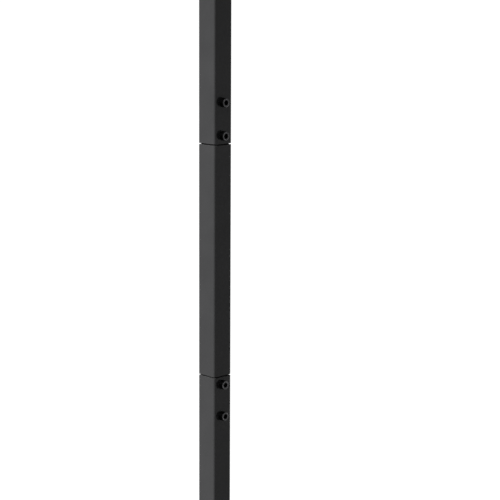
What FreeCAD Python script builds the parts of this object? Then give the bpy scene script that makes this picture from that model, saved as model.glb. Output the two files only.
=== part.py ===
"""Hose hanger: a sectional square-tube post on ground prongs, with a round-bar cradle.

Millimetres. +Z is up, the front is -Y. The origin lies on the post's axis at the ground
line, which is the underside of the foot plate.
"""

import FreeCAD, Part
import math
import os

Vector = FreeCAD.Vector

# Post sections: square steel tube
tube_side = 25.0
tube_wall = 1.5
tube_corner_radius = 2.0
tube_inner_radius = 0.5
tube_edge_round = 0.4
lower_post_length = 300.0
middle_post_length = 250.0
upper_post_length = 300.0

# Couplers: inner sleeves, welded at the ends of the middle post
coupler_clearance = 0.3
coupler_wall = 2.0
coupler_corner_radius = 1.5
coupler_inner_radius = 0.5
coupler_end_margin = 14.0
coupler_weld_leg = 0.7
weld_to_tube_clearance = 0.5

# Joint screws: M6 low socket head
screw_diameter = 6.0
screw_tip_out = 3.2
screw_head_diameter = 10.0
screw_head_height = 4.6
screw_head_chamfer = 0.6
screw_socket_width = 5.0
screw_socket_depth = 2.5
screw_hole_clearance = 0.6
screw_from_end = 8.5
screw_spacing = 35.0
screws_per_joint = 2

# Weld nuts inside the couplers
nut_width = 10.0
nut_height = 5.0
nut_thread_clearance = 0.1

# Plug in the top of the upper post
plug_top_thickness = 3.0
plug_top_round = 1.4
plug_depth = 14.0
plug_wall = 1.6
plug_fin_height = 0.6
plug_fin_thickness = 1.0
plug_fin_count = 3

# Cradle of round bar
arch_bar_diameter = 8.0
hook_bar_diameter = 7.0
brace_bar_diameter = 6.0
saddle_radius = 90.0
saddle_drop = 45.0
hook_reach = 112.0
hook_bend_radius = 18.0
lip_height = 42.0
hooks_each_side = 2
hook_pitch_angle = 31.0
arch_overhang_angle = 6.0
brace_reach = 62.0
brace_drop = 62.0

# Foot plate and ground prongs
plate_side = 120.0
plate_thickness = 4.0
plate_corner_radius = 12.0
plate_edge_round = 0.8
prong_diameter = 10.0
prong_length = 180.0
prong_point_length = 35.0
prong_tip_diameter = 2.0
prong_inset = 15.0

# Sizes that follow from the ones above
tube_inside = tube_side - 2 * tube_wall
coupler_side = tube_inside - 2 * coupler_clearance
coupler_inside = coupler_side - 2 * coupler_wall
joint_gap = coupler_weld_leg + weld_to_tube_clearance
coupler_insertion = screw_from_end + (screws_per_joint - 1) * screw_spacing + coupler_end_margin
screw_length = tube_wall + coupler_clearance + coupler_wall + nut_height + screw_tip_out
screw_hole_diameter = screw_diameter + screw_hole_clearance
plug_side = tube_inside - 2 * plug_fin_height

# Heights along the post
lower_post_bottom = plate_thickness
lower_post_top = lower_post_bottom + lower_post_length
middle_post_bottom = lower_post_top + joint_gap
middle_post_top = middle_post_bottom + middle_post_length
upper_post_bottom = middle_post_top + joint_gap
upper_post_top = upper_post_bottom + upper_post_length
upper_screw_heights = [upper_post_bottom + screw_from_end + i * screw_spacing
                       for i in range(screws_per_joint)]
lower_screw_heights = [lower_post_top - screw_from_end - i * screw_spacing
                       for i in range(screws_per_joint)]

# Places in the cradle
front_face = -tube_side / 2
hook_axis_height = upper_post_top - saddle_drop
saddle_centre = Vector(0, 0, hook_axis_height - saddle_radius)
back_arch_depth = front_face - arch_bar_diameter / 2
front_arch_depth = back_arch_depth - hook_reach
front_arch_radius = saddle_radius + lip_height
arch_half_angle = hooks_each_side * hook_pitch_angle + arch_overhang_angle

X_AXIS = Vector(1, 0, 0)
Y_AXIS = Vector(0, 1, 0)
Z_AXIS = Vector(0, 0, 1)
CUT_OVERRUN = 1.0
TOUCHING = 1e-4


def upright_edges(solid):
    """The edges of a block that run along Z."""
    def along_z(edge):
        first, last = edge.Vertexes[0].Point, edge.Vertexes[-1].Point
        return abs(first.x - last.x) + abs(first.y - last.y) < TOUCHING
    return [edge for edge in solid.Edges if along_z(edge)]


def edges_at_height(solid, height):
    """The edges that lie in the level plane at this height."""
    def level(edge):
        box = edge.BoundBox
        return abs(box.ZMin - height) < TOUCHING and abs(box.ZMax - height) < TOUCHING
    return [edge for edge in solid.Edges if level(edge)]


def square_bar(side, corner_radius, low, high):
    """An upright square bar with rounded corners, centred on the post's axis."""
    corner = Vector(-side / 2, -side / 2, low)
    bar = Part.makeBox(side, side, high - low, corner)
    return bar.makeFillet(corner_radius, upright_edges(bar))


def round_level_edges(solid, radius, heights):
    """Round the edges of a bar's end faces at the given heights."""
    edges = [edge for height in heights for edge in edges_at_height(solid, height)]
    return solid.makeFillet(radius, edges)


def front_hole(depth, height):
    """A cutter for a screw hole through a wall whose inner face lies at this depth."""
    start = Vector(0, front_face - CUT_OVERRUN, height)
    length = depth - front_face + 2 * CUT_OVERRUN
    return Part.makeCylinder(screw_hole_diameter / 2, length, start, Y_AXIS)


def post_section(low, high, screw_heights):
    """One tube of the post, with its screw holes in the front wall."""
    outside = round_level_edges(square_bar(tube_side, tube_corner_radius, low, high),
                                tube_edge_round, [low, high])
    inside = square_bar(tube_inside, tube_inner_radius, low - CUT_OVERRUN, high + CUT_OVERRUN)
    tube = outside.cut(inside)
    for height in screw_heights:
        tube = tube.cut(front_hole(front_face + tube_wall, height))
    return tube


def square_outline(side, corner_radius, height):
    """A closed level outline of a rounded square."""
    bar = square_bar(side, corner_radius, height, height + side)
    return Part.Wire(Part.__sortEdges__(edges_at_height(bar, height)))


def coupler(post_end, outward, screw_heights):
    """An inner sleeve, welded round the mouth of the middle post at post_end.

    outward is +1 where the sleeve stands out upwards and -1 where it stands out downwards.
    """
    inner_end = post_end - outward * coupler_insertion
    outer_end = post_end + outward * (joint_gap + coupler_insertion)
    low, high = min(inner_end, outer_end), max(inner_end, outer_end)
    sleeve = square_bar(coupler_side, coupler_corner_radius, low, high)
    weld_root = square_outline(coupler_side + 2 * coupler_weld_leg,
                               coupler_corner_radius + coupler_weld_leg, post_end)
    weld_toe = square_outline(coupler_side, coupler_corner_radius,
                              post_end + outward * coupler_weld_leg)
    sleeve = sleeve.fuse(Part.makeLoft([weld_root, weld_toe], True, True))
    sleeve = sleeve.cut(square_bar(coupler_inside, coupler_inner_radius,
                                   low - CUT_OVERRUN, high + CUT_OVERRUN))
    for height in screw_heights:
        sleeve = sleeve.cut(front_hole(-coupler_inside / 2, height))
    return sleeve.removeSplitter()


def hexagon_prism(width, low, high):
    """A prism along Z with a hexagon of this width across its flats, two of which face Y."""
    radius = width / math.sqrt(3)
    angles = [math.radians(60 * i) for i in range(7)]
    points = [Vector(radius * math.cos(a), radius * math.sin(a), low) for a in angles]
    return Part.Face(Part.makePolygon(points)).extrude(Vector(0, 0, high - low))


def facing_front(shape, depth, height):
    """Turn a shape made along +Z to face -Y, and set its origin at this depth and height."""
    turned = shape.copy()
    turned.Placement = FreeCAD.Placement(Vector(0, depth, height),
                                         FreeCAD.Rotation(X_AXIS, 90))
    return turned


def joint_screw():
    """A socket-head screw along Z: its head stands on z = 0 and its shank hangs below."""
    head = Part.makeCylinder(screw_head_diameter / 2, screw_head_height)
    head = head.makeChamfer(screw_head_chamfer, edges_at_height(head, screw_head_height))
    shank = Part.makeCylinder(screw_diameter / 2, screw_length, Vector(0, 0, -screw_length))
    socket = hexagon_prism(screw_socket_width, screw_head_height - screw_socket_depth,
                           screw_head_height + CUT_OVERRUN)
    return head.cut(socket).fuse(shank)


def weld_nut():
    """A hexagon nut along Z, with its seat on z = 0 and its body below."""
    bore_radius = (screw_diameter + nut_thread_clearance) / 2
    bore = Part.makeCylinder(bore_radius, nut_height + 2 * CUT_OVERRUN,
                             Vector(0, 0, -nut_height - CUT_OVERRUN))
    return hexagon_prism(nut_width, -nut_height, 0).cut(bore)


def at_heights(shape, depth, heights):
    """The same piece at several heights on the front, as one group of solids."""
    return Part.makeCompound([facing_front(shape, depth, height) for height in heights])


def post_plug():
    """The moulded plug: a rounded top on the tube's rim and a finned hollow skirt inside."""
    top_height = upper_post_top + plug_top_thickness
    top = square_bar(tube_side, tube_corner_radius, upper_post_top, top_height)
    top = round_level_edges(top, plug_top_round, [top_height])
    skirt_low = upper_post_top - plug_depth
    skirt = square_bar(plug_side, tube_inner_radius, skirt_low, upper_post_top)
    fin_pitch = plug_depth / plug_fin_count
    for i in range(plug_fin_count):
        fin_low = skirt_low + i * fin_pitch
        skirt = skirt.fuse(square_bar(tube_inside, tube_inner_radius, fin_low,
                                      fin_low + plug_fin_thickness))
    hollow = square_bar(plug_side - 2 * plug_wall, tube_inner_radius,
                        skirt_low - CUT_OVERRUN, upper_post_top)
    return top.fuse(skirt.cut(hollow)).removeSplitter()


def on_saddle(radius, depth, angle):
    """A point at this radius and angle from the saddle's crown, at this depth."""
    turn = math.radians(angle)
    offset = Vector(radius * math.sin(turn), depth, radius * math.cos(turn))
    return saddle_centre + offset


def arch(radius, depth):
    """A round bar bent to an arc across the cradle, with domed ends."""
    bar_radius = arch_bar_diameter / 2
    section = Part.Face(Part.Wire(Part.makeCircle(bar_radius, on_saddle(radius, depth, 0), X_AXIS)))
    section.rotate(saddle_centre, Y_AXIS, -arch_half_angle)
    bar = section.revolve(saddle_centre, Y_AXIS, 2 * arch_half_angle)
    turn = math.radians(arch_half_angle)
    for side in (-1, 1):
        outward = Vector(side * math.cos(turn), 0, -math.sin(turn))
        end = on_saddle(radius, depth, side * arch_half_angle)
        bar = bar.fuse(Part.makeSphere(bar_radius, end, outward, 0, 90, 360))
    return bar.removeSplitter()


def crown_hook(back_arch, front_arch):
    """The hook at the crown: forward from the back arch, then up to the front arch."""
    bend = hook_bend_radius
    height = hook_axis_height
    start = Vector(0, back_arch_depth, height)
    bend_start = Vector(0, front_arch_depth + bend, height)
    bend_middle = Vector(0, front_arch_depth + bend * (1 - math.sqrt(0.5)),
                         height + bend * (1 - math.sqrt(0.5)))
    bend_end = Vector(0, front_arch_depth, height + bend)
    end = Vector(0, front_arch_depth, height + lip_height)
    path = Part.Wire([Part.makeLine(start, bend_start),
                      Part.Arc(bend_start, bend_middle, bend_end).toShape(),
                      Part.makeLine(bend_end, end)])
    section = Part.Wire(Part.makeCircle(hook_bar_diameter / 2, start, Y_AXIS))
    bar = path.makePipeShell([section], True, True)
    return bar.cut(back_arch).cut(front_arch)


def brace(hook):
    """A straight bar from the front of the upper post up to the crown hook."""
    foot = Vector(0, front_face, hook_axis_height - brace_drop)
    head = Vector(0, front_face - brace_reach, hook_axis_height)
    along = (head - foot).normalize()
    start = foot - along * brace_bar_diameter
    bar = Part.makeCylinder(brace_bar_diameter / 2, (head - start).Length, start, along)
    post = square_bar(tube_side, tube_corner_radius, upper_post_bottom, upper_post_top)
    return bar.cut(post).cut(hook)


def foot_plate():
    """The square plate under the lower post."""
    plate = square_bar(plate_side, plate_corner_radius, 0, plate_thickness)
    return round_level_edges(plate, plate_edge_round, [0, plate_thickness])


def ground_prong(x, y):
    """A pointed round bar under the foot plate."""
    shaft_length = prong_length - prong_point_length
    shaft = Part.makeCylinder(prong_diameter / 2, shaft_length, Vector(x, y, 0), -Z_AXIS)
    point = Part.makeCone(prong_diameter / 2, prong_tip_diameter / 2, prong_point_length,
                          Vector(x, y, -shaft_length), -Z_AXIS)
    return shaft.fuse(point)


def post_pieces():
    """The tubes, couplers, screws, nuts and plug of the post."""
    screw = joint_screw()
    nut = weld_nut()
    nut_seat = -coupler_inside / 2
    return {
        "lower_post": post_section(lower_post_bottom, lower_post_top, lower_screw_heights),
        "middle_post": post_section(middle_post_bottom, middle_post_top, []),
        "upper_post": post_section(upper_post_bottom, upper_post_top, upper_screw_heights),
        "lower_coupler": coupler(middle_post_bottom, -1, lower_screw_heights),
        "upper_coupler": coupler(middle_post_top, 1, upper_screw_heights),
        "lower_joint_screws": at_heights(screw, front_face, lower_screw_heights),
        "upper_joint_screws": at_heights(screw, front_face, upper_screw_heights),
        "lower_weld_nuts": at_heights(nut, nut_seat, lower_screw_heights),
        "upper_weld_nuts": at_heights(nut, nut_seat, upper_screw_heights),
        "post_plug": post_plug(),
    }


def cradle_pieces():
    """The arches, hooks and brace of the cradle."""
    back_arch = arch(saddle_radius, back_arch_depth)
    front_arch = arch(front_arch_radius, front_arch_depth)
    hook = crown_hook(back_arch, front_arch)
    pieces = {"back_arch": back_arch, "front_arch": front_arch, "cradle_brace": brace(hook)}
    steps_from_crown = range(-hooks_each_side, hooks_each_side + 1)
    for i, step in enumerate(steps_from_crown):
        turned = hook.copy()
        turned.rotate(saddle_centre, Y_AXIS, step * hook_pitch_angle)
        pieces[f"cradle_hook_{i + 1}"] = turned
    return pieces


def foot_pieces():
    """The foot plate and the prongs under its corners."""
    pieces = {"foot_plate": foot_plate()}
    offset = plate_side / 2 - prong_inset
    corners = [(-offset, -offset), (offset, -offset), (offset, offset), (-offset, offset)]
    for i, (x, y) in enumerate(corners):
        pieces[f"ground_prong_{i + 1}"] = ground_prong(x, y)
    return pieces


def main():
    os.makedirs("parts", exist_ok=True)
    pieces = {**post_pieces(), **cradle_pieces(), **foot_pieces()}
    for name, shape in pieces.items():
        shape.exportStep(f"parts/{name}.step")


main()
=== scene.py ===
"""Looks for a sectional hose hanger: coats, joint screws, weld beads and the stage.

Metres. +Z is up, the front is -Y, and the origin lies on the post's axis at the ground line.
"""

import math
from collections import namedtuple

import bpy
from bpy.props import FloatProperty, FloatVectorProperty, IntProperty, PointerProperty
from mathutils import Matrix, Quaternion, Vector


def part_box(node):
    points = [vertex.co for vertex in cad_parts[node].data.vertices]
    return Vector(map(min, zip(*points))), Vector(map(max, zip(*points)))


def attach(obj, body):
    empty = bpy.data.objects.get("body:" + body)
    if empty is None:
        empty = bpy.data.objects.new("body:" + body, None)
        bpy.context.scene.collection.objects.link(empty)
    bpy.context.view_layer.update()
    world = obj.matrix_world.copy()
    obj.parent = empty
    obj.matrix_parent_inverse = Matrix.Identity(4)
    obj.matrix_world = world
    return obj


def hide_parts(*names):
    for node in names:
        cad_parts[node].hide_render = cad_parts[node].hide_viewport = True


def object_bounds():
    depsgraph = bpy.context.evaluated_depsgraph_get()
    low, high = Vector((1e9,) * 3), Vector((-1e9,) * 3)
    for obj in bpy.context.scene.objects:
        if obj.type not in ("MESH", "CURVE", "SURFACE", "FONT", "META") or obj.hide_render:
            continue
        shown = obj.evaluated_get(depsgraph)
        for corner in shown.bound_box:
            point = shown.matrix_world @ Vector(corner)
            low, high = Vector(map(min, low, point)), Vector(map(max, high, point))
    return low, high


bl_info = {
    "name": "Hose Hanger",
    "version": (1, 0, 0),
    "blender": (4, 5, 0),
    "location": "3D View > Sidebar > Hanger",
    "description": "Dresses the solids of a sectional hose hanger and sets its stage",
    "category": "Object",
}

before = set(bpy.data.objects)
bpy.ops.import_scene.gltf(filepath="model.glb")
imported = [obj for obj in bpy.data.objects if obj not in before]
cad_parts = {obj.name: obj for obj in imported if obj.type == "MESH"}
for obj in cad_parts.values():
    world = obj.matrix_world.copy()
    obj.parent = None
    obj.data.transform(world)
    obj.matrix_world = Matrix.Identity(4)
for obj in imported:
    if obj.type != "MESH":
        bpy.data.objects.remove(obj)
CAD_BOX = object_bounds()

BODY = "root"
TUBES = ["lower_post", "middle_post", "upper_post"]
SLEEVES = ["lower_coupler", "upper_coupler"]
NUTS = ["lower_weld_nuts", "upper_weld_nuts"]
SCREWS = ["lower_joint_screws", "upper_joint_screws"]
HOOKS = [f"cradle_hook_{i}" for i in range(1, 6)]
CROWN_HOOK = HOOKS[len(HOOKS) // 2]
CRADLE = ["back_arch", "front_arch", "cradle_brace"] + HOOKS
PRONGS = [f"ground_prong_{i}" for i in range(1, 5)]
FOOT = ["foot_plate"] + PRONGS

MM = 0.001
FORWARD = Vector((0, -1, 0))
UP = Vector((0, 0, 1))
SIDEWAYS = Vector((1, 0, 0))


# Sizes that the solids' boxes don't give

TUBE_CORNER = 2.0 * MM
BRACE_SLOPE = math.radians(45)
SCREWS_PER_JOINT = 2


# Measures taken from the solids

Arch = namedtuple("Arch", "bar depth height bend")

POST_LOW, POST_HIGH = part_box("lower_post")
FRONT_FACE = POST_LOW.y
FLAT_HALF = POST_HIGH.x - TUBE_CORNER
SCREW_LOW, SCREW_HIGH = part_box("upper_joint_screws")
SCREW_HEAD_RADIUS = (SCREW_HIGH.x - SCREW_LOW.x) / 2
SCREW_HEAD_HEIGHT = FRONT_FACE - SCREW_LOW.y
SCREW_LENGTH = SCREW_HIGH.y - FRONT_FACE
HOOK_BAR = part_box(CROWN_HOOK)[1].x


def screw_line(node):
    """The lowest place of a joint's screws on the front face, and the step to the next one."""
    low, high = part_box(node)
    start = Vector((0, FRONT_FACE, low.z + SCREW_HEAD_RADIUS))
    span = high.z - low.z - 2 * SCREW_HEAD_RADIUS
    return start, UP * span / (SCREWS_PER_JOINT - 1)


def arch_measures(node):
    """An arch's bar radius, depth, centre height and bend radius, from its box."""
    low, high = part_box(node)
    bar = (high.y - low.y) / 2
    half_span = high.x - bar
    rise = high.z - low.z - 2 * bar
    bend = (half_span ** 2 + rise ** 2) / (2 * rise)
    return Arch(bar, (high.y + low.y) / 2, high.z - bar - bend, bend)


def hook_angle(node, bend):
    """How far a hook leans from the crown, from the side of its box nearest the post."""
    low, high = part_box(node)
    if low.x > 0:
        return math.asin((low.x + HOOK_BAR) / bend)
    if high.x < 0:
        return math.asin((high.x - HOOK_BAR) / bend)
    return 0.0


# Node helpers

MIX_FACTOR, MIX_FIRST, MIX_SECOND, MIX_RESULT = 0, 6, 7, 2
NOISE_LOW, NOISE_HIGH = 0.3, 0.7
FINE_DETAIL, CLOUD_DETAIL, SPOT_DETAIL = 2.0, 3.0, 4.0


def add(tree, kind, inputs=None, **properties):
    """Add a node, set its properties, and set or link its inputs by name or number."""
    node = tree.nodes.new(kind)
    for key, value in properties.items():
        setattr(node, key, value)
    for key, value in (inputs or {}).items():
        if isinstance(value, bpy.types.NodeSocket):
            tree.links.new(value, node.inputs[key])
        else:
            node.inputs[key].default_value = value
    return node


def maths(tree, operation, *values, clamp=False):
    """A Math node's result."""
    node = add(tree, "ShaderNodeMath", dict(enumerate(values)), operation=operation)
    node.use_clamp = clamp
    return node.outputs[0]


def vector_maths(tree, operation, *values, output="Vector"):
    """A Vector Math node's result."""
    node = add(tree, "ShaderNodeVectorMath", dict(enumerate(values)), operation=operation)
    return node.outputs[output]


def scaled(tree, vector, factor):
    """A vector times a number."""
    inputs = {0: vector, "Scale": factor}
    return add(tree, "ShaderNodeVectorMath", inputs, operation="SCALE").outputs["Vector"]


def attribute(tree, name):
    """A number kept on each point of a mesh."""
    return add(tree, "ShaderNodeAttribute", attribute_name=name).outputs["Fac"]


def noise(tree, place, size, detail=FINE_DETAIL):
    """A cloudy value whose spots are about this wide."""
    inputs = {"Vector": place, "Scale": 1 / size, "Detail": detail}
    return add(tree, "ShaderNodeTexNoise", inputs).outputs[0]


def spread(tree, value, low, high):
    """Spread the usual range of a cloudy value over a new range."""
    ends = {"Value": value, "From Min": NOISE_LOW, "From Max": NOISE_HIGH,
            "To Min": low, "To Max": high}
    return add(tree, "ShaderNodeMapRange", ends).outputs[0]


def between(tree, factor, first, second):
    """A colour between two colours."""
    ends = {MIX_FACTOR: factor, MIX_FIRST: first, MIX_SECOND: second}
    return add(tree, "ShaderNodeMix", ends, data_type="RGBA").outputs[MIX_RESULT]


def either(tree, factor, first, second):
    """A mix of two shaders."""
    ends = {0: factor, 1: first.outputs[0], 2: second.outputs[0]}
    return add(tree, "ShaderNodeMixShader", ends).outputs[0]


def shade(colour, factor=1.0):
    """A colour made lighter or darker, with full alpha."""
    return (*(channel * factor for channel in colour), 1.0)


# Finishes

AXIS_DISTANCE = "from_axis"
# Flag on each screw point: 1 paints it near black as shade and makes it rougher, 0 keeps the
# oxide's own tone.
PAINTED_SHADE_AND_ROUGH = "painted_shade_and_rough"
MOTTLE_MEAN = 0.12


def blank_material(name):
    """A material's tree, its shader and its place on the piece."""
    material = bpy.data.materials.new(name)
    material.use_nodes = True
    tree = material.node_tree
    place = add(tree, "ShaderNodeTexCoord").outputs["Object"]
    return material, tree, tree.nodes["Principled BSDF"], place


def tint(tree, shader, value, dark, light):
    """Colour a shader from dark to light by a cloudy value."""
    colour = between(tree, spread(tree, value, 0.0, 1.0), dark, light)
    tree.links.new(colour, shader.inputs["Base Color"])


def tones(finish):
    """The darkest and the lightest tone of a finish."""
    stray = finish.tone_range
    return shade(finish.colour, 1 - stray), shade(finish.colour, 1 + stray)


def roughen(tree, shader, value, finish):
    """Vary a shader's roughness about a finish's mean by a cloudy value."""
    mean, stray = finish.roughness, finish.roughness_range
    tree.links.new(spread(tree, value, mean - stray, mean + stray), shader.inputs["Roughness"])


def relief(tree, shader, layers):
    """Stack bumps of (height value, depth in metres) on a shader."""
    normal = None
    for height, depth in layers:
        inputs = {"Height": height, "Distance": depth, "Strength": 1.0}
        if normal:
            inputs["Normal"] = normal
        normal = add(tree, "ShaderNodeBump", inputs).outputs[0]
    tree.links.new(normal, shader.inputs["Normal"])


def powder_coat(name, coat, drawn=False):
    """Matt powder coat: orange peel, a fine grain and a faint cloudiness.

    On drawn tube, lines along the steel show through it.
    """
    material, tree, shader, place = blank_material(name)
    cloud = noise(tree, place, coat.cloud_size, CLOUD_DETAIL)
    peel = noise(tree, place, coat.peel_size)
    grain = noise(tree, place, coat.grain_size)
    clouds = maths(tree, "MULTIPLY", cloud, 1 - coat.grain_share)
    tone = maths(tree, "MULTIPLY_ADD", grain, coat.grain_share, clouds)
    tint(tree, shader, tone, *tones(coat))
    roughen(tree, shader, peel, coat)
    shader.inputs["Specular IOR Level"].default_value = coat.gloss
    layers = [(peel, coat.peel_depth), (grain, coat.grain_depth)]
    if drawn:
        scale = (1, 1, 1 / coat.line_stretch)
        along = add(tree, "ShaderNodeMapping", {"Vector": place, "Scale": scale}).outputs[0]
        layers.append((noise(tree, along, coat.line_width), coat.line_depth))
    relief(tree, shader, layers)
    return material


def sleeve_primer(primer, coat):
    """Thin black primer on the inner sleeves, with the coat's grain."""
    material, tree, shader, place = blank_material("sleeve_primer")
    cloud = noise(tree, place, primer.cloud_size, CLOUD_DETAIL)
    grain = noise(tree, place, coat.grain_size)
    tint(tree, shader, cloud, *tones(primer))
    roughen(tree, shader, grain, primer)
    shader.inputs["Specular IOR Level"].default_value = coat.gloss
    relief(tree, shader, [(grain, coat.grain_depth)])
    return material


def plain_steel(nut):
    """Bare steel of the weld nuts, with a fine scatter of dull spots."""
    material, tree, shader, place = blank_material("plain_steel")
    spots = noise(tree, place, nut.spot_size, SPOT_DETAIL)
    tint(tree, shader, spots, shade(nut.dark_colour), shade(nut.light_colour))
    roughen(tree, shader, spots, nut)
    shader.inputs["Metallic"].default_value = 1.0
    relief(tree, shader, [(spots, nut.spot_depth)])
    return material


def moulded_black(plug):
    """Black moulded plastic with a fine spark-eroded texture."""
    material, tree, shader, place = blank_material("moulded_black")
    pits = add(tree, "ShaderNodeTexVoronoi",
               {"Vector": place, "Scale": 1 / plug.texture_size}).outputs["Distance"]
    cloud = noise(tree, place, plug.cloud_size, CLOUD_DETAIL)
    tint(tree, shader, cloud, *tones(plug))
    roughen(tree, shader, pits, plug)
    shader.inputs["Specular IOR Level"].default_value = plug.gloss
    relief(tree, shader, [(pits, plug.texture_depth)])
    return material


def black_oxide(screw):
    """Black oxide over turned steel: an oiled face with turning marks, and dull knurls. The
    knurled sides and the socket are painted near black, as painted shade.
    """
    material, tree, shader, place = blank_material("black_oxide")
    turns = maths(tree, "MULTIPLY", attribute(tree, AXIS_DISTANCE), 2 * math.pi / screw.mark_pitch)
    marks = maths(tree, "SINE", turns)
    # The flag marks the sides and socket: they get painted shade in the colour and added roughness
    # below.
    dull = attribute(tree, PAINTED_SHADE_AND_ROUGH)
    cloud = noise(tree, place, screw.mottle_size, CLOUD_DETAIL)
    mottle = maths(tree, "MULTIPLY", cloud, screw.mottle)
    tone = maths(tree, "MULTIPLY_ADD", dull, 1 - screw.mottle, mottle)
    # Painted shade: flagged places are painted at the shade tone, far darker than the oiled face.
    colour = between(tree, tone, shade(screw.colour, screw.oiled_tone),
                     shade(screw.colour, screw.painted_shade_tone))
    tree.links.new(colour, shader.inputs["Base Color"])
    added = maths(tree, "MULTIPLY_ADD", dull, screw.dull_roughness, mottle)
    rough = maths(tree, "ADD", added, screw.roughness - MOTTLE_MEAN)
    tree.links.new(rough, shader.inputs["Roughness"])
    shader.inputs["Metallic"].default_value = 1.0
    relief(tree, shader, [(cloud, screw.mottle_depth), (marks, screw.mark_depth)])
    return material


def dress(nodes, material):
    """Give CAD nodes one material."""
    for name in nodes:
        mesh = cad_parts[name].data
        mesh.materials.clear()
        mesh.materials.append(material)


# Pieces made by node trees

def node_tree(name, inputs):
    """A geometry tree with a geometry input and these named inputs, as (name, socket type)."""
    tree = bpy.data.node_groups.new(name, "GeometryNodeTree")
    for label, kind in [("Geometry", "NodeSocketGeometry")] + inputs:
        tree.interface.new_socket(label, in_out="INPUT", socket_type=kind)
    tree.interface.new_socket("Geometry", in_out="OUTPUT", socket_type="NodeSocketGeometry")
    return tree, add(tree, "NodeGroupInput").outputs


def close_tree(tree, geometry, material):
    """End a tree: realise the instances, set the material and hand the mesh out."""
    whole = add(tree, "GeometryNodeRealizeInstances", {"Geometry": geometry}).outputs[0]
    finished = add(tree, "GeometryNodeSetMaterial", {"Geometry": whole, "Material": material})
    add(tree, "NodeGroupOutput", {"Geometry": finished.outputs[0]})


def grow(name, mesh, tree, values):
    """Run a tree on a mesh and keep the result as a plain piece that rides on the body."""
    piece = bpy.data.objects.new(name, mesh)
    bpy.context.scene.collection.objects.link(piece)
    modifier = piece.modifiers.new(tree.name, "NODES")
    modifier.node_group = tree
    for item in tree.interface.items_tree:
        if item.in_out == "INPUT" and item.name in values:
            modifier[item.identifier] = values[item.name]
    graph = bpy.context.evaluated_depsgraph_get()
    grown = bpy.data.meshes.new_from_object(piece.evaluated_get(graph), depsgraph=graph)
    piece.modifiers.clear()
    piece.data = grown
    grown.name = name
    if not grown.polygons:
        raise RuntimeError(f"{name} came out empty")
    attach(piece, BODY)
    return piece


# Joint screws

SCREW_POINTS = 60
SCREW_TURNS = [i / SCREW_POINTS for i in range(SCREW_POINTS)]
SHARP_ANGLE = math.radians(30)
RINGS_PER_THREAD = 6
THREAD_FADE = 0.25
NECK_LENGTH = 0.05 * SCREW_HEAD_HEIGHT
NECK_FILLET = 0.2 * MM
SEAT_CHAMFER_WIDTH = 0.35 * MM
SEAT_CHAMFER_HEIGHT = 0.25 * MM
KNURL_MARGIN = 0.5 * MM
KNURL_FADE = 0.3 * MM
RIM_STEPS = 4
# Rim steps counted with the sides, which are painted near black as shade.
SHADED_RIM_STEPS = 3
SOCKET_SIDE_TURN = 360 / 6
SOCKET_CHAMFER = 0.15 * MM
SOCKET_MOUTH_CLEARANCE = 0.05 * MM
OILED_DEPTH = 0.25 * MM
DRILL_POINT_SHARE = 0.5
DRILL_POINT_DEPTH = 0.25 * MM
DRILL_TIP_DEPTH = 0.15 * MM
RANDOM_LOWEST, RANDOM_HIGHEST, RANDOM_RESULT = 2, 3, 1


def even(radius):
    """The radii of a round ring."""
    return [radius] * SCREW_POINTS


def shank_rings(screw):
    """Rings of the shank, from its tip up the thread to the neck under the head."""
    pitch, depth, radius = screw.thread_pitch, screw.thread_depth, screw.shank_radius
    rings = [(-SCREW_LENGTH, even(radius - 2 * depth)),
             (-SCREW_LENGTH + depth, even(radius - depth))]
    start, end = -SCREW_LENGTH + pitch, -pitch
    count = round((end - start) / pitch * RINGS_PER_THREAD)
    for i in range(count + 1):
        height = start + (end - start) * i / count
        run_out = min(1.0, min(i, count - i) / count / THREAD_FADE)
        waves = [(height / pitch - turn) % 1.0 for turn in SCREW_TURNS]
        rings.append((height, [radius - depth * run_out * abs(2 * wave - 1) for wave in waves]))
    return rings + [(-NECK_LENGTH, even(radius)), (0.0, even(radius + NECK_FILLET))]


def head_rings(screw):
    """Rings of the head's seat and knurled side, up to the rounding of its rim."""
    head = SCREW_HEAD_RADIUS
    knurled = [head - screw.knurl_depth * (i % 2) for i in range(SCREW_POINTS)]
    shoulder = SCREW_HEAD_HEIGHT - screw.head_round
    return [(0.0, even(head - SEAT_CHAMFER_WIDTH)), (SEAT_CHAMFER_HEIGHT, even(head)),
            (KNURL_MARGIN, knurled), (shoulder - KNURL_MARGIN, knurled),
            (shoulder - KNURL_MARGIN + KNURL_FADE, even(head))]


def rim_rings(screw):
    """Rings of the rounding from the head's side to its face."""
    corner = screw.head_round
    turns = [math.pi / 2 * i / RIM_STEPS for i in range(RIM_STEPS + 1)]
    return [(SCREW_HEAD_HEIGHT - corner * (1 - math.sin(turn)),
             even(SCREW_HEAD_RADIUS - corner * (1 - math.cos(turn)))) for turn in turns]


def screw_rings(screw):
    """Rings of (height, radius at each point) of the screw's side, face and socket."""
    top = SCREW_HEAD_HEIGHT
    rim = rim_rings(screw)
    # These side rings, and the socket's, are painted near black as shade in the material.
    side = shank_rings(screw) + head_rings(screw) + rim[:SHADED_RIM_STEPS]
    off_flat = [(360 * turn) % SOCKET_SIDE_TURN - SOCKET_SIDE_TURN / 2 for turn in SCREW_TURNS]
    flats = [screw.socket_width / 2 / math.cos(math.radians(angle)) for angle in off_flat]
    mouth = max(flats) + SOCKET_MOUTH_CLEARANCE
    face = rim[SHADED_RIM_STEPS:] + [(top, even(mouth)), (top - SOCKET_CHAMFER, flats)]
    floor = top - screw.socket_depth
    point = [DRILL_POINT_SHARE * radius for radius in flats]
    socket = [(top - OILED_DEPTH, flats), (floor, flats), (floor - DRILL_POINT_DEPTH, point)]
    return side, face, socket


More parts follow.
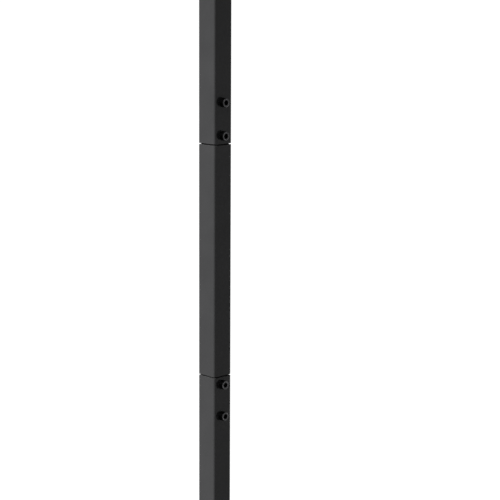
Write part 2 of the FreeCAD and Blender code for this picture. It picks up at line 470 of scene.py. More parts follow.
def screw_mesh(screw):
    """One closed screw along +Z whose head stands on z = 0."""
    side, face, socket = screw_rings(screw)
    rings = side + face + socket
    # Side and socket rings get 1 (painted shade, rougher); the face rings get 0.
    ring_painted_shade_and_rough = [1.0] * len(side) + [0.0] * len(face) + [1.0] * len(socket)
    points, distances, painted_shade_and_rough, faces = [], [], [], []
    for (height, radii), dull in zip(rings, ring_painted_shade_and_rough):
        for turn, radius in zip(SCREW_TURNS, radii):
            angle = 2 * math.pi * turn
            points.append((radius * math.cos(angle), radius * math.sin(angle), height))
            distances.append(radius)
            painted_shade_and_rough.append(dull)
    around = [(i, (i + 1) % SCREW_POINTS) for i in range(SCREW_POINTS)]
    last = (len(rings) - 1) * SCREW_POINTS
    for low in range(0, last, SCREW_POINTS):
        high = low + SCREW_POINTS
        faces += [(low + i, low + j, high + j, high + i) for i, j in around]
    tip, drill_tip = rings[0][0], rings[-1][0] - DRILL_TIP_DEPTH
    for ring, height, flip in ((0, tip, True), (last, drill_tip, False)):
        pole = len(points)
        points.append((0, 0, height))
        distances.append(0.0)
        painted_shade_and_rough.append(1.0)
        fans = [(ring + i, ring + j, pole) for i, j in around]
        faces += [fan[::-1] if flip else fan for fan in fans]
    mesh = bpy.data.meshes.new("joint_screw")
    mesh.from_pydata(points, [], faces)
    for name, values in ((AXIS_DISTANCE, distances), (PAINTED_SHADE_AND_ROUGH, painted_shade_and_rough)):
        mesh.attributes.new(name, "FLOAT", "POINT").data.foreach_set("value", values)
    mesh.shade_smooth()
    mesh.set_sharp_from_angle(angle=SHARP_ANGLE)
    return mesh


def screw_tree():
    """Sets one screw at even steps on two lines, each turned by a random angle."""
    tree, given = node_tree("joint_screws", [
        ("Lower Start", "NodeSocketVector"), ("Lower Step", "NodeSocketVector"),
        ("Upper Start", "NodeSocketVector"), ("Upper Step", "NodeSocketVector"),
        ("Screws per Joint", "NodeSocketInt"), ("Turn Range", "NodeSocketFloat"),
        ("Seed", "NodeSocketInt"), ("Material", "NodeSocketMaterial")])
    places = add(tree, "GeometryNodeJoinGeometry")
    for joint in ("Lower", "Upper"):
        line = add(tree, "GeometryNodeMeshLine",
                   {"Count": given["Screws per Joint"], "Offset": given[f"{joint} Step"],
                    "Start Location": given[f"{joint} Start"]})
        tree.links.new(line.outputs[0], places.inputs[0])
    lowest = maths(tree, "MULTIPLY", given["Turn Range"], -1.0)
    angle = add(tree, "FunctionNodeRandomValue",
                {RANDOM_LOWEST: lowest, RANDOM_HIGHEST: given["Turn Range"],
                 "Seed": given["Seed"]}, data_type="FLOAT")
    twist = add(tree, "ShaderNodeCombineXYZ", {"Z": angle.outputs[RANDOM_RESULT]})
    turned = add(tree, "FunctionNodeEulerToRotation", {0: twist.outputs[0]})
    facing = add(tree, "FunctionNodeEulerToRotation", {0: (math.radians(90), 0, 0)})
    both = add(tree, "FunctionNodeRotateRotation",
               {"Rotation": facing.outputs[0], "Rotate By": turned.outputs[0]},
               rotation_space="LOCAL")
    set_out = add(tree, "GeometryNodeInstanceOnPoints",
                  {"Points": places.outputs[0], "Instance": given["Geometry"],
                   "Rotation": both.outputs[0]})
    close_tree(tree, set_out.outputs[0], given["Material"])
    return tree


# Weld seams, as lists of (point, the way the bead's crest faces there)

SEAM_POINTS = 48
SEAM_TURNS = [2 * math.pi * i / SEAM_POINTS for i in range(SEAM_POINTS)]
CORNER_POINTS = 6
ARCH_WEDGE = 1.2
CREST = "crest"


def tee_seam(centre, along, across, outward, branch_bar, main_bar):
    """The seam where a round bar butts against a round bar that runs along."""
    seam = []
    for turn in SEAM_TURNS:
        branch_side = along * math.cos(turn) + across * math.sin(turn)
        aside = branch_bar * math.sin(turn)
        reach = math.sqrt(main_bar ** 2 - aside ** 2)
        main_side = (across * aside + outward * reach) / main_bar
        point = centre + branch_side * branch_bar + outward * reach
        seam.append((point, branch_side + main_side))
    return seam


def hook_seams():
    """Closed seams at both ends of every hook."""
    back, front = arch_measures("back_arch"), arch_measures("front_arch")
    seams = []
    for hook in HOOKS:
        lean = hook_angle(hook, back.bend)
        radial = Vector((math.sin(lean), 0, math.cos(lean)))
        along = Vector((math.cos(lean), 0, -math.sin(lean)))
        back_end = Vector((0, back.depth, back.height)) + radial * back.bend
        front_end = Vector((0, front.depth, back.height)) + radial * front.bend
        seams.append(tee_seam(back_end, along, radial, FORWARD, HOOK_BAR, back.bar))
        seams.append(tee_seam(front_end, along, FORWARD, -radial, HOOK_BAR, front.bar))
    return seams


def brace_seams():
    """Closed seams where the brace meets the post and the crown hook."""
    low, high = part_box("cradle_brace")
    bar = high.x
    arch = arch_measures("back_arch")
    slope_cos, slope_sin = math.cos(BRACE_SLOPE), math.sin(BRACE_SLOPE)
    foot = Vector((0, FRONT_FACE, low.z + bar / slope_cos))
    rise = arch.height + arch.bend - foot.z
    head = foot + FORWARD * rise / math.tan(BRACE_SLOPE) + UP * rise
    along = FORWARD * slope_cos + UP * slope_sin
    across = UP * slope_cos - FORWARD * slope_sin
    on_post, on_hook = [], []
    for turn in SEAM_TURNS:
        aside, over = bar * math.cos(turn), bar * math.sin(turn)
        brace_side = SIDEWAYS * math.cos(turn) + across * math.sin(turn)
        on_post.append((foot + SIDEWAYS * aside + UP * over / slope_cos, brace_side + FORWARD))
        under = math.sqrt(HOOK_BAR ** 2 - aside ** 2)
        short = (under + over * slope_cos) / slope_sin
        hook_side = (SIDEWAYS * aside - UP * under) / HOOK_BAR
        on_hook.append((head + SIDEWAYS * aside + across * over - along * short,
                        brace_side + hook_side))
    return [on_post, on_hook]


def arch_seams(weld):
    """Open seams above and below the back arch where it lies on the post."""
    arch = arch_measures("back_arch")
    reach = math.asin((FLAT_HALF - weld.throat) / arch.bend)
    centre = Vector((0, arch.depth, arch.height))
    seams = []
    for side in (-1, 1):
        seam = []
        for i in range(SEAM_POINTS):
            lean = reach * (2 * i / (SEAM_POINTS - 1) - 1)
            radial = Vector((math.sin(lean), 0, math.cos(lean)))
            bar_side = (radial * side - FORWARD).normalized()
            wedge = bar_side * arch.bar * ARCH_WEDGE
            seam.append((centre + radial * arch.bend + wedge, bar_side + FORWARD))
        seams.append(seam)
    return seams


def post_seam():
    """The closed seam round the post on the foot plate."""
    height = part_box("foot_plate")[1].z
    seam = []
    for quarter, (x, y) in enumerate([(1, 1), (-1, 1), (-1, -1), (1, -1)]):
        corner = Vector((x * FLAT_HALF, y * FLAT_HALF, height))
        for i in range(CORNER_POINTS):
            turn = math.pi / 2 * (quarter + i / (CORNER_POINTS - 1))
            post_side = Vector((math.cos(turn), math.sin(turn), 0))
            seam.append((corner + post_side * TUBE_CORNER, post_side + UP))
    return seam


def prong_seams():
    """Closed seams round the prongs under the foot plate."""
    sides = [Vector((math.cos(turn), math.sin(turn), 0)) for turn in SEAM_TURNS]
    seams = []
    for prong in PRONGS:
        low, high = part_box(prong)
        centre = Vector(((low.x + high.x) / 2, (low.y + high.y) / 2, high.z))
        radius = (high.x - low.x) / 2
        seams.append([(centre + side * radius, side - UP) for side in sides])
    return seams


def seam_mesh(name, closed, opened=()):
    """A mesh of bare edges along the seams, with the way each point's crest faces."""
    points, crests, edges = [], [], []
    for seams, closing in ((closed, True), (opened, False)):
        for seam in seams:
            first = len(points)
            for point, crest in seam:
                points.append(point)
                crests.extend(crest.normalized())
            edges += [(i, i + 1) for i in range(first, len(points) - 1)]
            if closing:
                edges.append((len(points) - 1, first))
    mesh = bpy.data.meshes.new(name)
    mesh.from_pydata(points, edges, [])
    mesh.attributes.new(CREST, "FLOAT_VECTOR", "POINT").data.foreach_set("vector", crests)
    return mesh


# Weld beads

STEPS_PER_RIPPLE = 6
BLUNT_END = 0.02


def carry(tree, geometry, value):
    """Keep a value on each point of a curve, to read after the curve has changed."""
    node = add(tree, "GeometryNodeCaptureAttribute", {"Geometry": geometry}, domain="POINT")
    node.capture_items.new("FLOAT", "Value")
    tree.links.new(value, node.inputs[1])
    return node.outputs[0], node.outputs[1]


def face_crest(tree, curve):
    """Turn a curve's normals to the crests of its seam, square to the curve."""
    crest = add(tree, "GeometryNodeInputNamedAttribute", {"Name": CREST},
                data_type="FLOAT_VECTOR").outputs[0]
    tangent = add(tree, "GeometryNodeInputTangent").outputs[0]
    slant = vector_maths(tree, "DOT_PRODUCT", crest, tangent, output="Value")
    lean = scaled(tree, tangent, slant)
    square_on = vector_maths(tree, "NORMALIZE", vector_maths(tree, "SUBTRACT", crest, lean))
    inputs = {"Curve": curve, "Normal": square_on}
    return add(tree, "GeometryNodeSetCurveNormal", inputs, mode="FREE").outputs[0]


def bead_size(tree, along, length, throat):
    """A bead's size along its seam: even, but with round blunt ends on an open seam."""
    nearer = maths(tree, "MINIMUM", along, maths(tree, "SUBTRACT", 1.0, along))
    from_end = maths(tree, "DIVIDE", maths(tree, "MULTIPLY", nearer, length), throat, clamp=True)
    left = maths(tree, "SUBTRACT", 1.0, from_end)
    squared = maths(tree, "MULTIPLY", left, left)
    run_out = maths(tree, "SQRT", maths(tree, "SUBTRACT", 1 + BLUNT_END, squared))
    closed = add(tree, "GeometryNodeInputSplineCyclic").outputs[0]
    share = maths(tree, "MINIMUM", maths(tree, "MAXIMUM", run_out, closed), 1.0)
    return maths(tree, "MULTIPLY", throat, share)


def bead_section(tree, sides, spread_share):
    """A bead's oval section, and where across the bead each of its points lies."""
    circle = add(tree, "GeometryNodeCurvePrimitiveCircle", {"Resolution": sides, "Radius": 1.0})
    position = add(tree, "GeometryNodeInputPosition").outputs[0]
    place = add(tree, "ShaderNodeSeparateXYZ", {0: position}).outputs
    ring, aside = carry(tree, circle.outputs[0], place["Y"])
    wide = add(tree, "ShaderNodeCombineXYZ", {"X": 1.0, "Y": spread_share, "Z": 1.0})
    section = add(tree, "GeometryNodeTransform", {"Geometry": ring, "Scale": wide.outputs[0]})
    return section.outputs[0], aside


def ripple_dip(tree, count, aside, given):
    """How far a bead's skin lies under its ripples' crests; their ends trail as crescents."""
    lag = maths(tree, "MULTIPLY", maths(tree, "MULTIPLY", aside, aside), given["Ripple Lag"])
    phase = maths(tree, "MULTIPLY", maths(tree, "SUBTRACT", count, lag), math.pi)
    scallop = maths(tree, "ABSOLUTE", maths(tree, "SINE", phase))
    return maths(tree, "MULTIPLY", maths(tree, "SUBTRACT", scallop, 1.0), given["Ripple Depth"])


def bead_tree():
    """Lays a rippled bead along seams."""
    tree, given = node_tree("weld_bead", [
        ("Throat", "NodeSocketFloat"), ("Spread", "NodeSocketFloat"),
        ("Ripple Pitch", "NodeSocketFloat"), ("Ripple Depth", "NodeSocketFloat"),
        ("Ripple Lag", "NodeSocketFloat"), ("Sides", "NodeSocketInt"),
        ("Material", "NodeSocketMaterial")])
    seam = add(tree, "GeometryNodeMeshToCurve", {"Mesh": given["Geometry"]}).outputs[0]
    step = maths(tree, "DIVIDE", given["Ripple Pitch"], STEPS_PER_RIPPLE)
    stepped = add(tree, "GeometryNodeResampleCurve", {"Curve": seam, "Length": step},
                  mode="LENGTH").outputs[0]
    along = add(tree, "GeometryNodeSplineParameter").outputs["Factor"]
    length = add(tree, "GeometryNodeSplineLength").outputs["Length"]
    ripples = maths(tree, "ROUND", maths(tree, "DIVIDE", length, given["Ripple Pitch"]))
    path, count = carry(tree, face_crest(tree, stepped), maths(tree, "MULTIPLY", along, ripples))
    section, aside = bead_section(tree, given["Sides"], given["Spread"])
    bead = add(tree, "GeometryNodeCurveToMesh",
               {"Curve": path, "Profile Curve": section, "Fill Caps": True,
                "Scale": bead_size(tree, along, length, given["Throat"])}).outputs[0]
    outward = add(tree, "GeometryNodeInputNormal").outputs[0]
    sunk = scaled(tree, outward, ripple_dip(tree, count, aside, given))
    rippled = add(tree, "GeometryNodeSetPosition", {"Geometry": bead, "Offset": sunk}).outputs[0]
    smooth = add(tree, "GeometryNodeSetShadeSmooth", {"Geometry": rippled}).outputs[0]
    close_tree(tree, smooth, given["Material"])
    return tree


def lay_beads(name, mesh, weld, material):
    """Lay weld beads on the seams of a mesh, as one piece."""
    values = {"Throat": weld.throat, "Spread": weld.spread, "Ripple Pitch": weld.ripple_pitch,
              "Ripple Depth": weld.ripple_depth, "Ripple Lag": weld.ripple_lag,
              "Sides": weld.sides, "Material": material}
    piece = grow(name, mesh, bead_tree(), values)


# Stage

KEY_FROM, KEY_SOFTNESS = (-1.0, 0.08, 0.8), math.radians(8)
FILL_FROM, FILL_SOFTNESS = (0.74, -0.68, -0.2), math.radians(6)
BACK_FROM, BACK_SOFTNESS = (0.75, 0.6, 0.6), math.radians(20)
WHITE = (1, 1, 1, 1)
SENSOR_WIDTH = 36
VIEW_DEPTH_IN_FLOORS = 4


def seen_directly(tree):
    """1 for rays that show the backdrop, straight or in a reflection, and 0 for others."""
    path = add(tree, "ShaderNodeLightPath").outputs
    seen = maths(tree, "ADD", path["Is Camera Ray"], path["Is Glossy Ray"])
    return maths(tree, "ADD", seen, path["Is Transmission Ray"], clamp=True)


def white_room(stage):
    """A world that looks white and lights the hanger softly."""
    world = bpy.data.worlds.new("white_room")
    bpy.context.scene.world = world
    world.use_nodes = True
    tree = world.node_tree
    dim = tree.nodes["Background"]
    dim.inputs["Color"].default_value = WHITE
    dim.inputs["Strength"].default_value = stage.room_light
    white = add(tree, "ShaderNodeBackground", {"Color": WHITE, "Strength": 1.0})
    room = either(tree, seen_directly(tree), dim, white)
    tree.links.new(room, tree.nodes["World Output"].inputs["Surface"])


def pale_floor(stage):
    """The floor's material: pale, lifted to white where it is seen, and clear from below."""
    material = bpy.data.materials.new("pale_floor")
    material.use_nodes = True
    tree = material.node_tree
    tree.nodes.remove(tree.nodes["Principled BSDF"])
    seen = seen_directly(tree)
    colour = between(tree, seen, shade(stage.floor_colour, stage.floor_bounce),
                     shade(stage.floor_colour))
    lit = add(tree, "ShaderNodeBsdfDiffuse", {"Color": colour})
    glow = add(tree, "ShaderNodeEmission",
               {"Strength": maths(tree, "MULTIPLY", seen, stage.floor_glow)})
    pale = add(tree, "ShaderNodeAddShader", {0: lit.outputs[0], 1: glow.outputs[0]})
    underside = add(tree, "ShaderNodeNewGeometry").outputs["Backfacing"]
    surface = either(tree, underside, pale, add(tree, "ShaderNodeBsdfTransparent"))
    tree.links.new(surface, tree.nodes["Material Output"].inputs["Surface"])
    return material


def lay_floor(stage):
    """A floor under the prongs' tips. The fill lamp stands below it, so it casts no shadow."""
    half, ground = stage.floor_size / 2, CAD_BOX[0].z
    corners = [(x * half, y * half, ground) for x, y in ((-1, -1), (1, -1), (1, 1), (-1, 1))]
    mesh = bpy.data.meshes.new("floor")
    mesh.from_pydata(corners, [], [(0, 1, 2, 3)])
    mesh.materials.append(pale_floor(stage))
    floor = bpy.data.objects.new("floor", mesh)
    floor.visible_shadow = False
    bpy.context.scene.collection.objects.link(floor)


def sun_lamp(name, towards, strength, softness):
    """A distant lamp that stands in this direction from the hanger."""
    lamp = bpy.data.lights.new(name, "SUN")
    lamp.energy = strength
    lamp.angle = softness
    holder = bpy.data.objects.new(name, lamp)
    holder.rotation_mode = "QUATERNION"
    holder.rotation_quaternion = Vector(towards).to_track_quat("Z", "Y")
    bpy.context.scene.collection.objects.link(holder)


def set_camera(stage):
    """A camera that sees the post at the chosen angle, a little to one side of the middle."""
    back = Vector((math.sin(stage.azimuth) * math.cos(stage.elevation),
                   -math.cos(stage.azimuth) * math.cos(stage.elevation),
                   math.sin(stage.elevation)))
    camera = bpy.data.objects.new("camera", bpy.data.cameras.new("camera"))
    camera.data.lens = stage.lens
    camera.data.sensor_width = SENSOR_WIDTH
    camera.data.clip_end = VIEW_DEPTH_IN_FLOORS * stage.floor_size
    camera.location = UP * stage.aim_height + back * stage.distance
    camera.rotation_mode = "QUATERNION"
    turn = Quaternion((0, 1, 0), -stage.aside) @ Quaternion((0, 0, 1), stage.tilt)
    camera.rotation_quaternion = (-back).to_track_quat("-Z", "Y") @ turn
    bpy.context.scene.collection.objects.link(camera)
    bpy.context.scene.camera = camera


# Settings

class HangerCoat(bpy.types.PropertyGroup):
    """The powder coat on the tubes, bars and foot."""

    colour: FloatVectorProperty(
        name="Coat", description="Colour of the powder coat", subtype="COLOR",
        default=(0.045, 0.045, 0.046), min=0, max=1)
    tone_range: FloatProperty(
        name="Tone Range", description="How far the coat's tone strays either way",
        subtype="FACTOR", default=0.12, min=0, max=1)
    grain_share: FloatProperty(
        name="Grain Share", description="Share of the tone that follows the grain",
        subtype="FACTOR", default=0.4, min=0, max=1)
    roughness: FloatProperty(
        name="Roughness", description="Mean roughness of the coat", subtype="FACTOR",
        default=0.6, min=0.1, max=0.9)
    roughness_range: FloatProperty(
        name="Roughness Range", description="How far the roughness strays either way",
        subtype="FACTOR", default=0.05, min=0, max=0.5)
    gloss: FloatProperty(
        name="Gloss", description="Strength of the coat's plain reflection",
        subtype="FACTOR", default=0.03, min=0, max=1)
    cloud_size: FloatProperty(
        name="Cloud Size", description="Width of the faint clouds in the coat",
        unit="LENGTH", default=35 * MM)
    peel_size: FloatProperty(
        name="Peel Size", description="Width of the orange peel", unit="LENGTH",
        default=2.6 * MM)
    peel_depth: FloatProperty(
        name="Peel Depth", description="Depth of the orange peel", unit="LENGTH",
        default=0.06 * MM)
    grain_size: FloatProperty(
        name="Grain Size", description="Width of the coat's grain", unit="LENGTH",
        default=0.6 * MM)
    grain_depth: FloatProperty(
        name="Grain Depth", description="Depth of the coat's grain", unit="LENGTH",
        default=0.02 * MM)
    line_width: FloatProperty(
        name="Line Width", description="Width of the drawn tube's lines", unit="LENGTH",
        default=1.5 * MM)
    line_depth: FloatProperty(
        name="Line Depth", description="Depth of the drawn tube's lines", unit="LENGTH",
        default=0.01 * MM)
    line_stretch: FloatProperty(
        name="Line Stretch", description="Length of a drawn line over its width",
        default=100, min=1)


class HangerPrimer(bpy.types.PropertyGroup):
    """The primer on the inner sleeves."""

    colour: FloatVectorProperty(
        name="Primer", description="Colour of the primer", subtype="COLOR",
        default=(0.012, 0.012, 0.0125), min=0, max=1)
    tone_range: FloatProperty(
        name="Tone Range", description="How far the primer's tone strays either way",
        subtype="FACTOR", default=0.2, min=0, max=1)
    roughness: FloatProperty(
        name="Roughness", description="Mean roughness of the primer", subtype="FACTOR",
        default=0.7, min=0.1, max=0.9)
    roughness_range: FloatProperty(
        name="Roughness Range", description="How far the roughness strays either way",
        subtype="FACTOR", default=0.1, min=0, max=0.5)
    cloud_size: FloatProperty(
        name="Cloud Size", description="Width of the clouds in the primer", unit="LENGTH",
        default=6 * MM)


class HangerNut(bpy.types.PropertyGroup):
    """The plain steel of the weld nuts."""

    dark_colour: FloatVectorProperty(
        name="Dark Steel", description="Darkest colour of the steel", subtype="COLOR",
        default=(0.36, 0.36, 0.35), min=0, max=1)
    light_colour: FloatVectorProperty(
        name="Light Steel", description="Lightest colour of the steel", subtype="COLOR",
        default=(0.5, 0.5, 0.49), min=0, max=1)
    roughness: FloatProperty(
        name="Roughness", description="Mean roughness of the steel", subtype="FACTOR",
        default=0.4, min=0.1, max=0.9)
    roughness_range: FloatProperty(
        name="Roughness Range", description="How far the roughness strays either way",
        subtype="FACTOR", default=0.1, min=0, max=0.5)
    spot_size: FloatProperty(
        name="Spot Size", description="Width of the dull spots", unit="LENGTH",
        default=2 * MM)
    spot_depth: FloatProperty(
        name="Spot Depth", description="Depth of the dull spots", unit="LENGTH",
        default=0.02 * MM)


class HangerPlug(bpy.types.PropertyGroup):
    """The moulded plug in the top of the post."""

    colour: FloatVectorProperty(
        name="Plastic", description="Colour of the plug", subtype="COLOR",
        default=(0.018, 0.018, 0.018), min=0, max=1)
    tone_range: FloatProperty(
        name="Tone Range", description="How far the plastic's tone strays either way",
        subtype="FACTOR", default=0.15, min=0, max=1)
    roughness: FloatProperty(
        name="Roughness", description="Mean roughness of the plastic", subtype="FACTOR",
        default=0.55, min=0.1, max=0.9)
    roughness_range: FloatProperty(
        name="Roughness Range", description="How far the roughness strays either way",
        subtype="FACTOR", default=0.05, min=0, max=0.5)
    gloss: FloatProperty(
        name="Gloss", description="Strength of the plastic's plain reflection",
        subtype="FACTOR", default=0.35, min=0, max=1)
    cloud_size: FloatProperty(
        name="Cloud Size", description="Width of the clouds in the plastic", unit="LENGTH",
        default=8 * MM)
    texture_size: FloatProperty(
        name="Texture Size", description="Width of the moulded pits", unit="LENGTH",
        default=0.36 * MM)
    texture_depth: FloatProperty(
        name="Texture Depth", description="Depth of the moulded pits", unit="LENGTH",
        default=0.02 * MM)


class HangerScrew(bpy.types.PropertyGroup):
    """The socket-head screws in the joints."""

    colour: FloatVectorProperty(
        name="Oxide", description="Colour of the black oxide", subtype="COLOR",
        default=(0.0105, 0.0105, 0.011), min=0, max=1)
    oiled_tone: FloatProperty(
        name="Oiled Tone", description="Tone of the oiled face over the oxide's colour",
        default=1.15, min=0, max=4)
    # Painted shade: the sides and socket are painted at this share of the oxide's colour, as
    # shade.
    painted_shade_tone: FloatProperty(
        name="Dull Tone", description="Tone of the dull sides over the oxide's colour",
        default=0.05, min=0, max=4)
    roughness: FloatProperty(
        name="Roughness", description="Mean roughness of the oiled face", subtype="FACTOR",
        default=0.36, min=0.1, max=0.9)
    dull_roughness: FloatProperty(
        name="Dull Roughness", description="Roughness that the dull sides add",
        subtype="FACTOR", default=0.2, min=0, max=0.5)
    mottle: FloatProperty(
        name="Mottle", description="Share of the tone that follows the mottle",
        subtype="FACTOR", default=0.25, min=0, max=1)
    mottle_size: FloatProperty(
        name="Mottle Size", description="Width of the mottle's spots", unit="LENGTH",
        default=1.5 * MM)
    mottle_depth: FloatProperty(
        name="Mottle Depth", description="Depth of the mottle's spots", unit="LENGTH",
        default=0.01 * MM)
    mark_pitch: FloatProperty(
        name="Mark Pitch", description="Spacing of the turning marks", unit="LENGTH",
        default=0.18 * MM)
    mark_depth: FloatProperty(
        name="Mark Depth", description="Depth of the turning marks", unit="LENGTH",
        default=0.004 * MM)
    shank_radius: FloatProperty(
        name="Shank Radius", description="Radius over the thread", unit="LENGTH",
        default=3.0 * MM)
    thread_pitch: FloatProperty(
        name="Thread Pitch", description="Rise of the thread in one turn", unit="LENGTH",
        default=1.0 * MM)
    thread_depth: FloatProperty(
        name="Thread Depth", description="Depth of the thread", unit="LENGTH",
        default=0.5 * MM)
    knurl_depth: FloatProperty(
        name="Knurl Depth", description="Depth of the grooves round the head",
        unit="LENGTH", default=0.16 * MM)
    head_round: FloatProperty(
        name="Head Round", description="Rounding of the head's rim", unit="LENGTH",
        default=0.6 * MM)
    socket_width: FloatProperty(
        name="Socket Width", description="Width across the socket's flats", unit="LENGTH",
        default=5.0 * MM)
    socket_depth: FloatProperty(
        name="Socket Depth", description="Depth of the socket", unit="LENGTH",
        default=2.5 * MM)
    turn_range: FloatProperty(
        name="Turn Range", description="How far a socket's flats may stand off level",
        subtype="ANGLE", default=math.radians(14))
    seed: IntProperty(
        name="Turn Seed", description="Seed for the angle each screw stopped at", default=4)


class HangerWeld(bpy.types.PropertyGroup):
    """The weld beads in the cradle and on the foot."""

    throat: FloatProperty(
        name="Throat", description="Height of a bead's crest over its seam", unit="LENGTH",
        default=1.5 * MM)
    spread: FloatProperty(
        name="Spread", description="Half width of a bead as a share of its throat",
        default=1.6, min=0.5, max=4)
    ripple_pitch: FloatProperty(
        name="Ripple Pitch", description="Spacing of the ripples along a bead",
        unit="LENGTH", default=1.5 * MM)
    ripple_depth: FloatProperty(
        name="Ripple Depth", description="Depth of the ripples", unit="LENGTH",
        default=0.14 * MM)
    ripple_lag: FloatProperty(
        name="Ripple Lag", description="How far a ripple's ends trail its crest, in ripples",
        default=0.7, min=0, max=3)
    sides: IntProperty(
        name="Sides", description="Sides of a bead's oval section", default=16, min=6)


class HangerStage(bpy.types.PropertyGroup):
    """Floor, lamps and camera."""

    floor_size: FloatProperty(
        name="Floor Size", description="Width of the floor", unit="LENGTH", default=120.0)
    floor_colour: FloatVectorProperty(
        name="Floor", description="Colour of the floor", subtype="COLOR",
        default=(0.42, 0.42, 0.42), min=0, max=1)
    floor_bounce: FloatProperty(
        name="Floor Bounce", description="Share of the floor's colour that lights the hanger",
        subtype="FACTOR", default=0.12, min=0, max=1)
    floor_glow: FloatProperty(
        name="Floor Glow", description="Light that lifts the floor to white",
        subtype="FACTOR", default=0.38, min=0, max=1)
    room_light: FloatProperty(
        name="Room Light", description="Light of the room on the hanger",
        subtype="FACTOR", default=0.035, min=0, max=1)
    key_strength: FloatProperty(
        name="Key", description="Strength of the key lamp on the left", default=6.2)
    fill_strength: FloatProperty(
        name="Fill", description="Strength of the fill lamp on the right", default=1.08)
    back_strength: FloatProperty(
        name="Back", description="Strength of the lamp behind", default=2.2)
    azimuth: FloatProperty(
        name="Azimuth", description="Camera's turn round the post", subtype="ANGLE",
        default=math.radians(-42.776))
    elevation: FloatProperty(
        name="Elevation", description="Camera's height as an angle", subtype="ANGLE",
        default=math.radians(10.252))
    distance: FloatProperty(
        name="Distance", description="Camera's distance from the post", unit="LENGTH",
        default=1.740322)
    aim_height: FloatProperty(
        name="Aim Height", description="Height on the post that the elevation is measured from",
        unit="LENGTH", default=0.44147)
    aside: FloatProperty(
        name="Aside", description="Camera's turn to the right of the post",
        subtype="ANGLE", default=math.radians(1.236))
    tilt: FloatProperty(
        name="Tilt", description="Camera's roll about its line of sight", subtype="ANGLE",
        default=math.radians(0.08))
    lens: FloatProperty(
        name="Lens", description="Focal length on a 36 mm sensor, in millimetres",
        default=117.166)


SETTINGS = {"hanger_coat": HangerCoat, "hanger_primer": HangerPrimer, "hanger_nut": HangerNut,
            "hanger_plug": HangerPlug, "hanger_screw": HangerScrew, "hanger_weld": HangerWeld,
            "hanger_stage": HangerStage}


# Operators

class HANGER_OT_coat_tubes(bpy.types.Operator):
    """Powder-coat the three tubes of the post"""

    bl_idname = "hanger.coat_tubes"
    bl_label = "Coat Tubes"

    def execute(self, context):
        dress(TUBES, powder_coat("tube_coat", context.scene.hanger_coat, drawn=True))
        return {"FINISHED"}


class HANGER_OT_coat_cradle(bpy.types.Operator):
    """Powder-coat the arches, hooks and brace"""

    bl_idname = "hanger.coat_cradle"
    bl_label = "Coat Cradle"

    def execute(self, context):
        dress(CRADLE, powder_coat("bar_coat", context.scene.hanger_coat))
        return {"FINISHED"}


class HANGER_OT_coat_foot(bpy.types.Operator):
    """Powder-coat the foot plate and prongs"""

    bl_idname = "hanger.coat_foot"
    bl_label = "Coat Foot"

    def execute(self, context):
        dress(FOOT, powder_coat("foot_coat", context.scene.hanger_coat))
        return {"FINISHED"}


class HANGER_OT_finish_sleeves(bpy.types.Operator):
    """Prime the inner sleeves and leave their weld nuts plain"""

    bl_idname = "hanger.finish_sleeves"
    bl_label = "Finish Sleeves"

    def execute(self, context):
        scene = context.scene
        dress(SLEEVES, sleeve_primer(scene.hanger_primer, scene.hanger_coat))
        dress(NUTS, plain_steel(scene.hanger_nut))
        return {"FINISHED"}


class HANGER_OT_mould_plug(bpy.types.Operator):
    """Texture the moulded plug in the top of the post"""

    bl_idname = "hanger.mould_plug"
    bl_label = "Mould Plug"

    def execute(self, context):
        dress(["post_plug"], moulded_black(context.scene.hanger_plug))
        return {"FINISHED"}


class HANGER_OT_fit_screws(bpy.types.Operator):
    """Fit knurled, threaded socket-head screws in both joints"""

    bl_idname = "hanger.fit_screws"
    bl_label = "Fit Screws"

    def execute(self, context):
        screw = context.scene.hanger_screw
        lower_start, lower_step = screw_line("lower_joint_screws")
        upper_start, upper_step = screw_line("upper_joint_screws")
        values = {"Lower Start": lower_start, "Lower Step": lower_step,
                  "Upper Start": upper_start, "Upper Step": upper_step,
                  "Screws per Joint": SCREWS_PER_JOINT, "Turn Range": screw.turn_range,
                  "Seed": screw.seed, "Material": black_oxide(screw)}
        piece = grow("joint_screws", screw_mesh(screw), screw_tree(), values)
        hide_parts(*SCREWS)
        return {"FINISHED"}


class HANGER_OT_weld_cradle(bpy.types.Operator):
    """Lay the weld beads of the hooks, arches and brace"""

    bl_idname = "hanger.weld_cradle"
    bl_label = "Weld Cradle"

    def execute(self, context):
        weld = context.scene.hanger_weld
        mesh = seam_mesh("cradle_seams", hook_seams() + brace_seams(), arch_seams(weld))
        coat = powder_coat("cradle_bead_coat", context.scene.hanger_coat)
        lay_beads("cradle_welds", mesh, weld, coat)
        return {"FINISHED"}


class HANGER_OT_weld_foot(bpy.types.Operator):
    """Lay the weld beads of the post and prongs on the foot plate"""

    bl_idname = "hanger.weld_foot"
    bl_label = "Weld Foot"

    def execute(self, context):
        mesh = seam_mesh("foot_seams", [post_seam()] + prong_seams())
        coat = powder_coat("foot_bead_coat", context.scene.hanger_coat)
        lay_beads("foot_welds", mesh, context.scene.hanger_weld, coat)
        return {"FINISHED"}


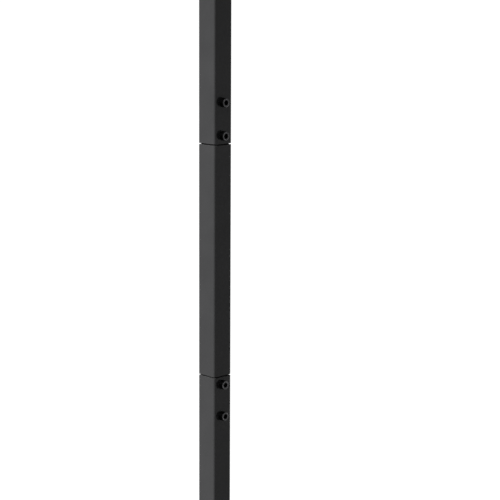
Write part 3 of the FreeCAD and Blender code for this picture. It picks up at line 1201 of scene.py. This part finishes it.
class HANGER_OT_set_stage(bpy.types.Operator):
    """Set the floor, the room, the lamps and the camera"""

    bl_idname = "hanger.set_stage"
    bl_label = "Set Stage"

    def execute(self, context):
        stage = context.scene.hanger_stage
        context.scene.view_settings.view_transform = "Standard"
        white_room(stage)
        lay_floor(stage)
        sun_lamp("key_lamp", KEY_FROM, stage.key_strength, KEY_SOFTNESS)
        sun_lamp("fill_lamp", FILL_FROM, stage.fill_strength, FILL_SOFTNESS)
        sun_lamp("back_lamp", BACK_FROM, stage.back_strength, BACK_SOFTNESS)
        set_camera(stage)
        return {"FINISHED"}


OPERATORS = [HANGER_OT_coat_tubes, HANGER_OT_coat_cradle, HANGER_OT_coat_foot,
             HANGER_OT_finish_sleeves, HANGER_OT_mould_plug, HANGER_OT_fit_screws,
             HANGER_OT_weld_cradle, HANGER_OT_weld_foot, HANGER_OT_set_stage]


class HANGER_PT_sidebar(bpy.types.Panel):
    """Steps and settings of the hose hanger"""

    bl_label = "Hose Hanger"
    bl_idname = "HANGER_PT_sidebar"
    bl_space_type = "VIEW_3D"
    bl_region_type = "UI"
    bl_category = "Hanger"

    def draw(self, context):
        for operator in OPERATORS:
            self.layout.operator(operator.bl_idname)
        for name, group in SETTINGS.items():
            box = self.layout.box()
            for label in group.__annotations__:
                box.prop(getattr(context.scene, name), label)


CLASSES = [*SETTINGS.values(), *OPERATORS, HANGER_PT_sidebar]


def register():
    """Add the classes to Blender and the settings to its scenes."""
    for cls in CLASSES:
        bpy.utils.register_class(cls)
    for name, group in SETTINGS.items():
        setattr(bpy.types.Scene, name, PointerProperty(type=group))


def unregister():
    """Take the settings and the classes away again."""
    for name in SETTINGS:
        delattr(bpy.types.Scene, name)
    for cls in reversed(CLASSES):
        bpy.utils.unregister_class(cls)


def main():
    """Dress the hanger piece by piece, then set its stage."""
    register()
    bpy.ops.hanger.coat_tubes()
    bpy.ops.hanger.coat_cradle()
    bpy.ops.hanger.coat_foot()
    bpy.ops.hanger.finish_sleeves()
    bpy.ops.hanger.mould_plug()
    bpy.ops.hanger.fit_screws()
    bpy.ops.hanger.weld_cradle()
    bpy.ops.hanger.weld_foot()
    bpy.ops.hanger.set_stage()


if __name__ == "__main__":
    main()
